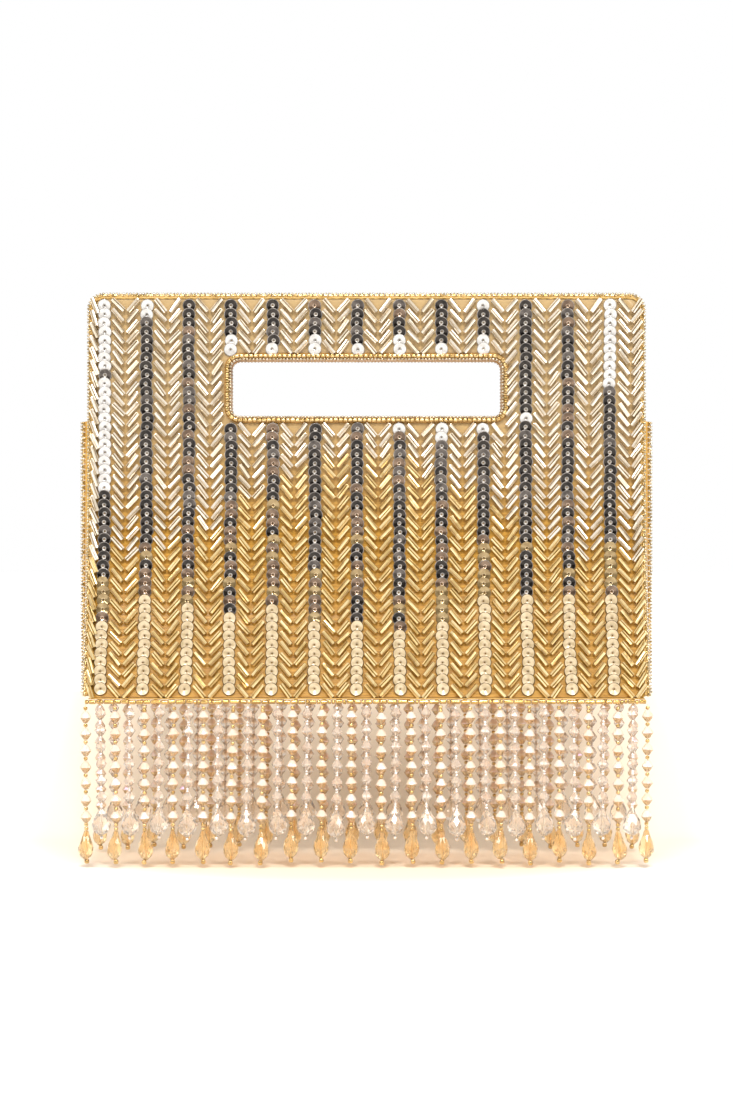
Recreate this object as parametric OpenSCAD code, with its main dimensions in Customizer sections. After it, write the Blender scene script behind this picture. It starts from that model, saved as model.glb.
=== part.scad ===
// Beaded evening bag. Two stiff embroidered panels with a hand opening are joined by a base and two
// side gussets, close with a magnetic snap, and carry a swinging bead fringe along both bottom edges.
// Millimetres. +X is the viewer's right, +Y points to the back of the bag, +Z is up.
// The origin is in the middle of the top edge of the hand opening, half way between the two panels.

/* [Panels] */
// Width of each panel board
panel_w = 234; // [224:1:250]
// Height of the board above the top edge of the hand opening
panel_rise = 26; // [22:1:32]
// Depth of the board below the top edge of the hand opening
panel_drop = 142; // [132:1:152]
// Radius of the panel corners
corner_r = 6; // [3:1:10]
// Gap between the two linings from the top down to the mouth
mouth_gap = 5; // [4.8:0.1:6]
// Gap between the two linings at the base
base_gap = 40; // [34:1:46]
// Depth at which the panels start to flare apart
flare_start = 50; // [48:1:60]

/* [Layers] */
// Thickness of the lining
lining_t = 0.5; // [0.4:0.1:0.6]
// Thickness of the panel board
board_t = 2; // [1.8:0.1:2.4]
// Thickness of the satin face cloth
cloth_t = 0.5; // [0.4:0.1:0.6]
// Diameter of the satin cord round the panel edge
cord_d = 1.5; // [1.2:0.1:2]
// Diameter of the seed beads of the edge and grip trims
trim_bead_d = 1.6; // [1.4:0.1:1.8]

/* [Hand opening] */
// Clear width of the hand opening
grip_w = 116; // [100:1:124]
// Clear height of the hand opening
grip_h = 24; // [20:1:26]
// Corner radius of the hand opening
grip_r = 3.5; // [2:0.5:5]
// Thickness of the satin facing inside the hand opening
facing_t = 0.8; // [0.5:0.1:1]

/* [Embroidery] */
// Number of sequin columns
column_count = 13; // [11:2:13]
// Distance from one sequin column to the next
column_pitch = 18.06; // [17.5:0.02:18.2]
// Shift of the middle column from the middle of the panel
column_shift = -4; // [-4:0.5:0]
// Diameter of a sequin
sequin_d = 5.3; // [5:0.1:6]
// Height of the sequin columns off the cloth
sequin_t = 1.5; // [1.2:0.1:1.8]
// Height of the bugle beads off the cloth
bugle_t = 1.8; // [1.6:0.1:2]
// Depth of the line between silver and gold bugles at the sides of the panel
arch_foot = 83.6; // [78:0.2:90]
// Height of the arch of that line in the middle of the panel
arch_h = 43.5; // [30:0.5:46]
// Half width of the arch
arch_half_w = 106; // [90:1:110]

/* [Snap] */
// Depth of the magnetic snap below the origin
snap_z = 38; // [37:0.5:39]
// Radius of the snap's discs
snap_r = 8.5; // [8:0.5:9]
// Radius of the stud's boss
boss_r = 3; // [2.5:0.1:3.2]

/* [Fringe] */
// Distance from one amber strand to the next
strand_pitch = 12.45; // [12.2:0.05:12.45]
// Number of amber strands on each side
amber_count = 20; // [18:1:20]
// Number of swinging sections that a fringe is divided into
section_count = 6; // [4:1:6]
// Diameter of the header beads
header_d = 2.2; // [2:0.1:2.4]
// Diameter of the bicone crystals
bicone_d = 4.8; // [4:0.1:5]
// Distance from one bicone to the next
bicone_pitch = 7; // [6.8:0.1:7.4]
// Number of bicones on an amber strand
amber_bicones = 7; // [5:1:8]
// Number of bicones on a clear strand
clear_bicones = 6; // [4:1:7]
// Diameter of the amber drops
amber_drop_d = 6.5; // [5:0.5:7]
// Diameter of the clear drops
clear_drop_d = 8; // [6:0.5:8]

/* [Hidden] */
SIDES = ["front", "back"];
STRANDS = ["amber", "clear"];
PANEL_PARTS = ["board", "face_cloth", "lining", "edge_cord", "edge_beads", "grip_facing", "grip_beads",
    "silver_bugles", "gold_bugles", "sequins"];

// Depths of the layers, counted outwards from the lining's inner face
board_in = lining_t;
cloth_in = lining_t + board_t;
face = lining_t + board_t + cloth_t;

// The wall's inner face against depth: straight to the flare, then bending out to the base
BEND_STEPS = 8;
BEND_TABLE = [
    for (i = [BEND_STEPS:-1:0])
        let (t = i / BEND_STEPS)
            [-flare_start - t * (panel_drop - flare_start),
             mouth_gap / 2 + (base_gap - mouth_gap) / 2 * (1.5 * t * t - 0.5 * t * t * t)]
];

// Trims round the panel and the hand opening
edge_bead_in = 1;
edge_grow = cord_d + trim_bead_d - 0.1;
grip_ring = 2.2;
bare_satin = 4.2;
wall_reach = 40;

// Embroidered field
field_top = panel_rise - 0.1;
sequin_foot = -panel_drop + 0.7;
bugle_top = panel_rise - 0.5;
bugle_foot = -panel_drop + 2.6;

// Side gusset
mouth_z = -26;
gusset_t = 0.8;
gusset_bulge = 5.4;
gusset_clear = 0.4;
GUSSET_STEPS = 8;

// Base: board, lining above it, and cloth below it level with the fringe tapes
base_half_y = base_gap / 2 - 1.6;
base_half_x = panel_w / 2 - 1;
base_board_t = 2;
panel_foot = -panel_drop - cord_d;
base_top = -panel_drop + 0.2;
base_under = base_top - base_board_t - cloth_t;

// Fringe
strand_y = base_gap / 2 + face + 1.6;
tape_edge_y = strand_y + 0.6;
header_z = base_under - header_d / 2;
header_clear = 0.2;
strand_top = header_z - header_d / 2 - header_clear;
seed_r = 1;
AMBER = [3.1, amber_bicones, 3.4, amber_drop_d / 2, 12, 3];
CLEAR = [2.2, clear_bicones, 2.2, clear_drop_d / 2, 11.5, 2.2];

// Snap: the stud's plate lies on the front lining and its boss enters the socket on the back lining
plate_t = 1.2;
boss_l = 2.4;
socket_t = 3.5;
socket_bore_l = 2.4;
socket_bore_r = boss_r + 0.7;
magnet_t = 2.4;
magnet_r = snap_r - 0.6;
magnet_bore_r = socket_bore_r + 0.5;
washer_t = 0.5;
washer_r = snap_r - 1.5;
prong = [0.6, 4];
prong_x = 3;

function fringe_node(side, section, kind) = str(side, "_fringe_", section, "_", kind);

// Rounded rectangle in X and Z, with each corner as a short run of chords
function rounded_rect(x0, x1, z0, z1, r, steps = 6) = [
    for (corner = [[x1 - r, z1 - r, 0], [x0 + r, z1 - r, 90], [x0 + r, z0 + r, 180], [x1 - r, z0 + r, 270]])
        for (i = [0:steps])
            let (a = corner[2] + 90 * i / steps)
                [corner[0] + r * cos(a), corner[1] + r * sin(a)]
];

// Inner face of the wall at height z, as a distance from the middle plane
function wall_y(z) = lookup(z, BEND_TABLE);

// Heights from z1 down to z0, with every bend between them
function levels(z0, z1) = concat(
    [z1],
    [for (i = [BEND_STEPS:-1:0]) let (z = BEND_TABLE[i][0]) if (z > z0 && z < z1) z],
    [z0]
);

// Side outline of one wall layer between two depths
function layer_profile(inner, outer, z0, z1) = let (zs = levels(z0, z1), n = len(zs)) concat(
    [for (z = zs) [wall_y(z) + inner, z]],
    [for (i = [n - 1:-1:0]) [wall_y(zs[i]) + outer, zs[i]]]
);

// Centre of sequin column k, and the edges of the bugle band before it
function column_x(k) = column_shift + column_pitch * (k - (column_count - 1) / 2);
function band_x0(k) = k == 0 ? -panel_w / 2 + 0.5 : column_x(k - 1) + sequin_d / 2;
function band_x1(k) = k == column_count ? panel_w / 2 - 0.5 : column_x(k) - sequin_d / 2;

// Height of the line between silver and gold bugles at x
function arch_z(x) = -arch_foot + (abs(x) < arch_half_w ? arch_h * (1 + cos(180 * x / arch_half_w)) / 2 : 0);

// Strands are counted from the left; even ones are amber. Each section takes an even share of them
strand_total = 2 * amber_count - 1;
function section_start(s) = floor((s - 1) * strand_total / section_count);
function strand_x(i) = strand_pitch / 2 * (i - (strand_total - 1) / 2);

// Outline of a strand as [radius, depth]: lead seeds, bicones with seeds between, drop, stopper seed
function bicone_points(lead, count) = [
    for (i = [0:count - 1])
        let (z = -lead - i * bicone_pitch)
            for (p = [[seed_r, z], [bicone_d / 2, z - bicone_d / 2], [seed_r, z - bicone_d]]) p
];
function drop_points(z, r, l) = [[0.9, z], [r, z - 0.62 * l], [0.75 * r, z - 0.88 * l], [0.9, z - l]];
function strand_outline(s) = let (drop_z = -s[0] - (s[1] - 1) * bicone_pitch - bicone_d - s[2]) concat(
    [[0, 0], [seed_r, 0]],
    bicone_points(s[0], s[1]),
    drop_points(drop_z, s[3], s[4]),
    [[0.9, drop_z - s[4] - s[5]], [0, drop_z - s[4] - s[5]]]
);

// Everything below is built for the back, which lies on +Y, and mirrored for the front
module on_side(side) mirror([0, side == "front" ? 1 : 0, 0]) children();

// Slab of the back wall, bent with it, between two depths
module wall_slab(inner, outer, x0, x1, z0, z1)
    rotate([90, 0, 90]) translate([0, 0, x0]) linear_extrude(x1 - x0) polygon(layer_profile(inner, outer, z0, z1));

module y_prism(outline)
    rotate([90, 0, 0]) linear_extrude(2 * wall_reach, center = true) polygon(outline);

// Panel outline and hand opening as prisms through the bag, grown by a margin all round;
// widen makes the opening's prism longer still at both ends
module panel_prism(grow) {
    half_w = panel_w / 2 + grow;
    y_prism(rounded_rect(-half_w, half_w, -panel_drop - grow, panel_rise + grow, corner_r + grow));
}

module grip_prism(grow, widen = 0) {
    half_w = grip_w / 2 + grow + widen;
    y_prism(rounded_rect(-half_w, half_w, -grip_h - grow, grow, grip_r + grow));
}

// A layer of the wall with the panel's outline
module panel_layer(inner, outer, grow = 0, foot = -panel_drop) {
    half_w = panel_w / 2 + grow;
    intersection() {
        wall_slab(inner, outer, -half_w, half_w, foot, panel_rise + grow);
        panel_prism(grow);
    }
}

module y_disc(r, y0, y1)
    translate([0, y0, -snap_z]) rotate([-90, 0, 0]) cylinder(h = y1 - y0, r = r, $fn = 64);

module prongs(y0, y1, clear = 0)
    for (side = [-1, 1])
        translate([side * prong_x - prong[0] / 2 - clear, y0, -snap_z - prong[1] / 2 - clear])
            cube([prong[0] + 2 * clear, y1 - y0, prong[1] + 2 * clear]);

// Stiff board with the hand opening and a pocket for the snap's washer
module board() color("tan") difference() {
    panel_layer(board_in, cloth_in);
    grip_prism(facing_t);
    y_disc(washer_r, 0, mouth_gap / 2 + board_in + washer_t);
}

module face_cloth() color("goldenrod") difference() {
    panel_layer(cloth_in, face);
    grip_prism(facing_t);
}

module lining() color("wheat") difference() {
    panel_layer(0, board_in);
    grip_prism(facing_t);
    prongs(0, mouth_gap);
}

module edge_cord() color("gold") difference() {
    panel_layer(0.3, face, cord_d, panel_foot);
    panel_prism(0);
}

module edge_beads() color("khaki") difference() {
    panel_layer(edge_bead_in, edge_bead_in + trim_bead_d, edge_grow, panel_foot);
    panel_prism(cord_d);
}

module grip_facing() color("darkgoldenrod") difference() {
    intersection() {
        wall_slab(0, face, -grip_w, grip_w, -grip_h - 5, 5);
        grip_prism(facing_t);
    }
    grip_prism(0);
}

module grip_beads() color("khaki") difference() {
    intersection() {
        wall_slab(face, face + trim_bead_d, -grip_w, grip_w, -grip_h - 5, 5);
        grip_prism(grip_ring);
    }
    grip_prism(0.2);
}

// Herringbone bands between the sequin columns, above and below the arched line
module silver_bugles() color("silver") difference() {
    for (k = [0:column_count])
        wall_slab(face, face + bugle_t, band_x0(k), band_x1(k), arch_z((band_x0(k) + band_x1(k)) / 2), bugle_top);
    grip_prism(bare_satin);
}

module gold_bugles() color("darkgoldenrod")
    for (k = [0:column_count])
        wall_slab(face, face + bugle_t, band_x0(k), band_x1(k), bugle_foot, arch_z((band_x0(k) + band_x1(k)) / 2));

module sequins() color("dimgray") difference() {
    for (k = [0:column_count - 1])
        wall_slab(face, face + sequin_t, column_x(k) - sequin_d / 2, column_x(k) + sequin_d / 2, sequin_foot, field_top);
    grip_prism(grip_ring, sequin_d / 2 + 0.1);
}

// Stud on the front lining: plate, boss and two prongs through to its washer
module snap_stud() color("gold") mirror([0, 1, 0]) {
    y_disc(snap_r, mouth_gap / 2 - plate_t, mouth_gap / 2);
    y_disc(boss_r, mouth_gap / 2 - plate_t - boss_l, mouth_gap / 2 - plate_t);
    prongs(mouth_gap / 2, mouth_gap / 2 + lining_t + washer_t);
}

// Ring magnet on the back lining; extra makes it longer, to cut its pocket out through the socket's back
module magnet_ring(extra = 0) difference() {
    y_disc(magnet_r, mouth_gap / 2 - magnet_t, mouth_gap / 2 + extra);
    y_disc(magnet_bore_r, mouth_gap / 2 - magnet_t - 1, mouth_gap / 2 + extra + 1);
}

// Socket: a shell over the magnet, with the bore that takes the stud's boss
module snap_socket() color("gold") {
    difference() {
        y_disc(snap_r, mouth_gap / 2 - socket_t, mouth_gap / 2);
        y_disc(socket_bore_r, mouth_gap / 2 - socket_t, mouth_gap / 2 - socket_t + socket_bore_l);
        magnet_ring(1);
    }
    prongs(mouth_gap / 2, mouth_gap / 2 + lining_t + washer_t);
}

module snap_magnet() color("dimgray") magnet_ring();

module snap_washer() color("silver") difference() {
    y_disc(washer_r, mouth_gap / 2 + board_in, mouth_gap / 2 + board_in + washer_t);
    prongs(0, mouth_gap, 0.05);
}

module base_slab(half_x, z0, z1)
    translate([-half_x, -base_half_y, z0]) cube([2 * half_x, 2 * base_half_y, z1 - z0]);

module base_board() color("tan") base_slab(base_half_x, base_under + cloth_t, base_top);
module base_cloth() color("goldenrod") base_slab(base_half_x, base_under, base_under + cloth_t);
module base_lining() color("wheat") base_slab(base_half_x, base_top, base_top + lining_t);

// Right-hand gusset: a thin shell that bulges out between the two walls and widens with them
module gusset_shell() {
    zs = levels(panel_foot, mouth_z);
    ring = 2 * (GUSSET_STEPS + 1);
    points = [
        for (z = zs)
            for (back = [0, 1])
                for (i = [0:GUSSET_STEPS])
                    let (u = (back ? -1 : 1) * (2 * i / GUSSET_STEPS - 1), half = wall_y(z) - gusset_clear)
                        [panel_w / 2 + gusset_bulge * (1 - u * u) - (back ? gusset_t : 0), u * half, z]
    ];
    sides = [
        for (k = [0:len(zs) - 2])
            for (i = [0:ring - 1])
                let (j = (i + 1) % ring, low = (k + 1) * ring, high = k * ring)
                    for (tri = [[high + i, low + j, low + i], [high + i, high + j, low + j]]) tri
    ];
    last = (len(zs) - 1) * ring;
    caps = [[for (i = [ring - 1:-1:0]) i], [for (i = [0:ring - 1]) last + i]];
    polyhedron(points, concat(sides, caps));
}

module gusset(hand) color("goldenrod") rotate([0, 0, hand == "left" ? 180 : 0]) gusset_shell();

module gusset_beads(hand) color("khaki") mirror([hand == "left" ? 1 : 0, 0, 0])
    translate([panel_w / 2 + gusset_bulge + trim_bead_d / 2, 0, panel_foot])
        cylinder(h = mouth_z - panel_foot, d = trim_bead_d, $fn = 24);

module fringe_tape() color("goldenrod")
    translate([-panel_w / 2, base_half_y, base_under]) cube([panel_w, tape_edge_y - base_half_y, cloth_t]);

module header_beads() color("khaki")
    translate([-panel_w / 2 - cord_d, strand_y, header_z]) rotate([0, 90, 0])
        cylinder(h = panel_w + 2 * cord_d, d = header_d, $fn = 24);

// One swinging section's strands of one kind: amber strands are the even ones, clear the odd ones
module fringe_strands(section, kind) color(kind == "amber" ? "burlywood" : "whitesmoke")
    for (i = [section_start(section):section_start(section + 1) - 1])
        if (i % 2 == (kind == "amber" ? 0 : 1))
            translate([strand_x(i), strand_y, strand_top])
                rotate_extrude($fn = 32) polygon(strand_outline(kind == "amber" ? AMBER : CLEAR));

for (side = SIDES) on_side(side) {
    board();
    face_cloth();
    lining();
    edge_cord();
    edge_beads();
    grip_facing();
    grip_beads();
    silver_bugles();
    gold_bugles();
    sequins();
    fringe_tape();
    header_beads();
    for (s = [1:section_count]) for (kind = STRANDS)
        fringe_strands(s, kind);
}
snap_stud();
mirror([0, 1, 0]) snap_washer();  // snap_stud_washer
snap_socket();
snap_magnet();
snap_washer();  // snap_socket_washer
base_board();
base_cloth();
base_lining();
for (hand = ["left", "right"]) {
    gusset(hand);
    gusset_beads(hand);
}
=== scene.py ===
"""Looks for the beaded evening bag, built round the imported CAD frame.

Metres, +X to the viewer's right, +Y to the back of the bag, +Z up. The embroidery, trims, cloths, gussets
and fringes are mesh pieces that replace the plain CAD solids; the boards and the snap keep their CAD meshes.
Everything on a panel is laid out for the front, which faces -Y, and mirrored for the back.
"""

import math
import random

import bpy
import numpy as np
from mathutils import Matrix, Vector


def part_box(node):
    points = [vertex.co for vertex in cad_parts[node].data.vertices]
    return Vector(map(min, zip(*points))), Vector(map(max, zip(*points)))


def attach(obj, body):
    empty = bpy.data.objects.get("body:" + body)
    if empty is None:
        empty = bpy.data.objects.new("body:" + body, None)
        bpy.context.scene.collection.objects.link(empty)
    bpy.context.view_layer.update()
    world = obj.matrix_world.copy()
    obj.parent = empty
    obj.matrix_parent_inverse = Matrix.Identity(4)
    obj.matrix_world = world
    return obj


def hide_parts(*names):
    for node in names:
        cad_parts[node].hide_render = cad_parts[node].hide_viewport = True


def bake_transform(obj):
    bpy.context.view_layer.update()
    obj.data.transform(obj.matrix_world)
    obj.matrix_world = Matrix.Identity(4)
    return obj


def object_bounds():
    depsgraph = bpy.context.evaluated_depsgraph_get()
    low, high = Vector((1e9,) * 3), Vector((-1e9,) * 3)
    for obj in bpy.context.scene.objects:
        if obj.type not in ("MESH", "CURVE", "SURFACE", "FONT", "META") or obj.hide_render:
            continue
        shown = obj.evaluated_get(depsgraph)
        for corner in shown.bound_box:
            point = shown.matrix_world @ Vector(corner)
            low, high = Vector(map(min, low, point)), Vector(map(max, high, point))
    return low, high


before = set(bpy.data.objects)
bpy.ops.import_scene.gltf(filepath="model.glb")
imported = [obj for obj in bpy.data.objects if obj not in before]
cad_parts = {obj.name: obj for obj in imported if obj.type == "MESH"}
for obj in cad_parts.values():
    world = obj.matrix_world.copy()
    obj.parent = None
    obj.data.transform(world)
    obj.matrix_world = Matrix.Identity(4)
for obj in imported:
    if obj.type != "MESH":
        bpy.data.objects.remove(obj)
CAD_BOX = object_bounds()
MM = 0.001
SIDES = ("front", "back")
PANEL_BODY = {"front": "front_panel", "back": "back_and_base"}
ROOT = "back_and_base"

# ---- Sizes, from the frame where a box gives them ----
board_lo, board_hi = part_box("back_board")
lining_lo, lining_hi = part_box("back_lining")
facing_lo, facing_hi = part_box("back_grip_facing")
header_lo, header_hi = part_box("back_header_beads")
tape_lo, tape_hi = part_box("back_fringe_tape")
base_lo, base_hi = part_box("base_cloth")
base_lining_lo, base_lining_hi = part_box("base_lining")
gusset_lo, gusset_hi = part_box("right_gusset")

HALF_W = board_hi.x
TOP = board_hi.z
FOOT = board_lo.z
CORNER = 4 * MM
LINING_T = 0.5 * MM
BOARD_T = 2.0 * MM
CLOTH_T = 0.5 * MM
FACE = LINING_T + BOARD_T + CLOTH_T
FACING_T = 0.8 * MM

# The wall's inner face is straight down to the flare and then bends out to the base
FLARE = -50 * MM
MOUTH_Y = lining_lo.y
BASE_Y = lining_hi.y - LINING_T

# Clear hand opening
GRIP_HALF_W = facing_hi.x - FACING_T
GRIP_TOP = facing_hi.z - FACING_T
GRIP_FOOT = facing_lo.z + FACING_T
GRIP_R = 3.5 * MM

# Sequin columns
COLUMNS = 13
COLUMN_PITCH = 18.06 * MM
COLUMN_SHIFT = -4 * MM
SEQUIN_R = 2.85 * MM
SEQUIN_LIFT = 0.55 * MM
SEQUIN_TOP = 23.3 * MM
SEQUIN_FOOT = -140.3 * MM
SEQUINS = 45
SEQUINS_OVER_GRIP = 6
SEQUIN_UNDER_GRIP = -29.6 * MM

# Bugle rows
BUGLE_L = 7.0 * MM
BUGLE_R = 1.05 * MM
BUGLE_ANGLE = 50
BUGLE_PITCH = 4.4 * MM
BUGLE_TOP = 23.4 * MM
BUGLE_FOOT = -141.2 * MM
BARE_SATIN = 3.6 * MM
ARCH_FOOT = 83.6 * MM
ARCH_H = 43.5 * MM
ARCH_HALF_W = 106 * MM

# Trims: how far outside its edge each line lies, its depth in the wall or lift off it, and its beads' pitch
TRIM_FOOT = FOOT - 1.3 * MM
CORD_OUT, CORD_DEPTH = 0.75 * MM, 1.65 * MM
CORD_WIDE, CORD_DEEP, CORD_TWIST = 0.8 * MM, 1.45 * MM, 3.4 * MM
EDGE_OUT, EDGE_DEPTH, EDGE_PITCH = 1.75 * MM, 2.1 * MM, 2.2 * MM
PICOT_OUT, PICOT_DEPTH, PICOT_PITCH = 2.6 * MM, 2.0 * MM, 1.45 * MM
RING_OUT, RING_LIFT, RING_PITCH = 1.75 * MM, 1.25 * MM, 2.05 * MM
INNER_OUT, INNER_LIFT = 0.45 * MM, 0.85 * MM
STRIP_W, STRIP_T = 10 * MM, 0.4 * MM

# Gussets: the front half stretches between these distances in front of the crease as the bag opens
GUSSET_TOP = gusset_hi.z
GUSSET_FOOT = gusset_lo.z
GUSSET_BULGE = gusset_hi.x - HALF_W - 1.2 * MM
STRETCH_FROM = 0.9 * MM
STRETCH_TO = 2.1 * MM
# Hem inside each gusset's foot, which closes the corner that the front half lifts off the base
HEM_H = 10.5 * MM
HEM_T = 0.3 * MM
HEM_IN = 0.5 * MM

# Fringe
STRAND_PITCH = 6.225 * MM
STRANDS = 39
SECTIONS = 6
STRAND_TOP = header_lo.z - 0.4 * MM
HEADER_Y = (header_lo.y + header_hi.y) / 2
HEADER_Z = (header_lo.z + header_hi.z) / 2
BICONE_R = 2.4 * MM
BICONE_PITCH = 7 * MM
BORE_R = 0.32 * MM
THREAD_R = 0.14 * MM
# Lead above the first bicone, bicones, gap above the drop, the drop's radius and length
AMBER = (3.1 * MM, 7, 3.4 * MM, 3.25 * MM, 12 * MM)
CLEAR = (2.2 * MM, 6, 2.2 * MM, 4.0 * MM, 11.5 * MM)

# ---- Camera: straight at the front, level with the middle of the panel ----
CAMERA_DISTANCE = 0.95
CAMERA_Z = -0.0815

camera_data = bpy.data.cameras.new("camera")
camera_data.lens = 72
camera_data.sensor_width = 36
camera = bpy.data.objects.new("camera", camera_data)
camera.location = (0, -CAMERA_DISTANCE, CAMERA_Z)
camera.rotation_euler = (math.radians(90), 0, 0)
bpy.context.scene.collection.objects.link(camera)
bpy.context.scene.camera = camera


# ---- Materials ----
# The face cloth fades to its paler tone between these heights, up to this share
FADE_FOOT, FADE_TOP, FADE_SHARE = -75 * MM, -20 * MM, 0.75


def shader(name, **inputs):
    """A material with one Principled shader, whose sockets are named in snake case."""
    material = bpy.data.materials.new(name)
    material.use_nodes = True
    principled = material.node_tree.nodes["Principled BSDF"]
    for socket, value in inputs.items():
        title = socket.replace("_", " ").title().replace("Ior", "IOR")
        principled.inputs[title].default_value = value
    return material


def add_node(owner, kind, **values):
    """A new node of a material or world. A value sets the input of that name, or else the attribute."""
    node = owner.node_tree.nodes.new(kind)
    for key, value in values.items():
        title = key.replace("_", " ").title()
        if title in node.inputs:
            node.inputs[title].default_value = value
        else:
            setattr(node, key, value)
    return node


def link(owner, source, output, target, socket):
    owner.node_tree.links.new(source.outputs[output], target.inputs[socket])


def feed(material, source, output, socket):
    """Links an output to a socket of the Principled shader."""
    link(material, source, output, material.node_tree.nodes["Principled BSDF"], socket)


def object_place(material, scale=(1, 1, 1)):
    """Object coordinates, scaled."""
    place = add_node(material, "ShaderNodeTexCoord")
    mapping = add_node(material, "ShaderNodeMapping", vector_type="POINT", scale=scale)
    link(material, place, "Object", mapping, "Vector")
    return mapping


def texture(material, kind, squeeze=1, **values):
    """A texture in object coordinates, squeezed along z."""
    node = add_node(material, f"ShaderNodeTex{kind}", **values)
    link(material, object_place(material, scale=(1, 1, squeeze)), "Vector", node, "Vector")
    return node


def add_ramp(owner, source, output, low, high, spread):
    """A ramp from low to high, between the two values of spread."""
    ramp = add_node(owner, "ShaderNodeValToRGB")
    for stop, position, tone in zip(ramp.color_ramp.elements, spread, (low, high)):
        stop.position = position
        stop.color = (*tone, 1)
    link(owner, source, output, ramp, "Fac")
    return ramp


def two_tone(material, source, output, low, high, spread=(0.35, 0.65)):
    """Colours the shader between low and high by a texture's value."""
    ramp = add_ramp(material, source, output, low, high, spread)
    feed(material, ramp, "Color", "Base Color")
    return ramp


def fade_up(material, ramp, pale):
    """Fades the ramp's colour to a paler tone from the middle of the panel to its top."""
    split = add_node(material, "ShaderNodeSeparateXYZ")
    link(material, object_place(material), "Vector", split, "Vector")
    rise = add_node(material, "ShaderNodeMapRange", from_min=FADE_FOOT, from_max=FADE_TOP, to_max=FADE_SHARE)
    link(material, split, "Z", rise, "Value")
    mix = add_node(material, "ShaderNodeMixRGB", color2=(*pale, 1))
    link(material, rise, "Result", mix, "Fac")
    link(material, ramp, "Color", mix, "Color1")
    feed(material, mix, "Color", "Base Color")


def bump(material, source, output, depth, strength, after=None):
    """Adds a bump of that depth in metres, on top of an earlier one."""
    node = add_node(material, "ShaderNodeBump", strength=strength, distance=depth)
    link(material, source, output, node, "Height")
    if after is None:
        feed(material, node, "Normal", "Normal")
    else:
        link(material, node, "Normal", after, "Normal")
    return node


def roughness_range(material, source, output, low, high):
    node = add_node(material, "ShaderNodeMapRange", to_min=low, to_max=high)
    link(material, source, output, node, "Value")
    feed(material, node, "Result", "Roughness")


def satin(name, low, high, thread=0.28 * MM, sheen=0.35, pale=None):
    """Satin: fine slanting floats with slubs, and a soft sheen. pale is its tone near the bag's top."""
    material = shader(name, metallic=0.0, anisotropic=0.5, sheen_weight=sheen, sheen_roughness=0.35)
    slubs = texture(material, "Noise", 6, scale=220.0, detail=3.0)
    ramp = two_tone(material, slubs, "Fac", low, high)
    if pale:
        fade_up(material, ramp, pale)
    floats = texture(material, "Wave", scale=0.5 / thread / math.pi, distortion=1.2, detail=2.0,
                     bands_direction="DIAGONAL")
    weave = bump(material, floats, "Fac", 0.05 * MM, 0.5)
    soft = texture(material, "Noise", scale=60.0, detail=2.0)
    bump(material, soft, "Fac", 0.5 * MM, 0.35, after=weave)
    roughness_range(material, slubs, "Fac", 0.30, 0.44)
    return material


def bead_metal(name, low, high, size, metallic, roughness=0.16):
    """Lined glass: a bright lining that varies from bead to bead, under clear gloss."""
    material = shader(name, metallic=metallic, coat_weight=1.0, coat_roughness=0.04, coat_ior=1.5)
    beads = texture(material, "Voronoi", scale=1 / size)
    split = add_node(material, "ShaderNodeSeparateColor")
    link(material, beads, "Color", split, "Color")
    two_tone(material, split, "Red", low, high, spread=(0.1, 0.9))
    ripple = texture(material, "Noise", scale=900.0, detail=2.0)
    bump(material, ripple, "Fac", 0.06 * MM, 0.25)
    roughness_range(material, split, "Green", roughness * 0.6, roughness * 1.5)
    return material


def sequin_film(name, low, high, metallic=0.85, roughness=0.14, coat=0.5):
    """Metallised film with faint ripples, under clear gloss."""
    material = shader(name, metallic=metallic, coat_weight=coat, coat_roughness=0.05)
    tint = texture(material, "Noise", scale=420.0, detail=1.0)
    two_tone(material, tint, "Fac", low, high)
    ripple = texture(material, "Noise", scale=1400.0, detail=2.0)
    bump(material, ripple, "Fac", 0.03 * MM, 0.2)
    roughness_range(material, tint, "Fac", roughness * 0.7, roughness * 1.4)
    return material


def crystal(name, low, high, transmission, film=0.0, roughness=0.03):
    """Cut crystal, tinted a little unevenly; film is the iridescent coat in nanometres."""
    material = shader(name, transmission_weight=transmission, ior=1.48, coat_weight=0.3,
                      coat_roughness=0.02, thin_film_thickness=film, thin_film_ior=1.7)
    tint = texture(material, "Noise", scale=160.0, detail=1.0)
    two_tone(material, tint, "Fac", low, high)
    roughness_range(material, tint, "Fac", roughness * 0.5, roughness * 1.5)
    return material


def plated_metal(name, colour, dark):
    """Polished plating with fine turning marks and light tarnish."""
    material = shader(name, metallic=1.0, anisotropic=0.4)
    tarnish = texture(material, "Noise", scale=350.0, detail=4.0)
    two_tone(material, tarnish, "Fac", dark, colour, spread=(0.25, 0.5))
    roughness_range(material, tarnish, "Fac", 0.3, 0.14)
    marks = texture(material, "Wave", scale=900.0, distortion=1.0, wave_type="RINGS", rings_direction="Y")
    bump(material, marks, "Fac", 0.01 * MM, 0.4)
    return material


def card(name):
    """Grey-brown board with pressed fibres."""
    material = shader(name, metallic=0.0)
    fibres = texture(material, "Noise", 4, scale=500.0, detail=6.0)
    two_tone(material, fibres, "Fac", (0.30, 0.22, 0.13), (0.47, 0.37, 0.24))
    bump(material, fibres, "Fac", 0.15 * MM, 0.6)
    roughness_range(material, fibres, "Fac", 0.75, 0.95)
    return material


SATIN = satin("gold_satin", (0.50, 0.27, 0.045), (0.68, 0.40, 0.095))
# The face cloth is the gold satin made darker and deeper, partly its own colour and partly painted shade
# between the bugles; towards the top it fades to a paler tone.
FACE_SATIN_PAINTED_SHADE = satin("face_satin_painted_shade", (0.35, 0.165, 0.013), (0.54, 0.28, 0.035), pale=(0.52, 0.385, 0.205))
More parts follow.
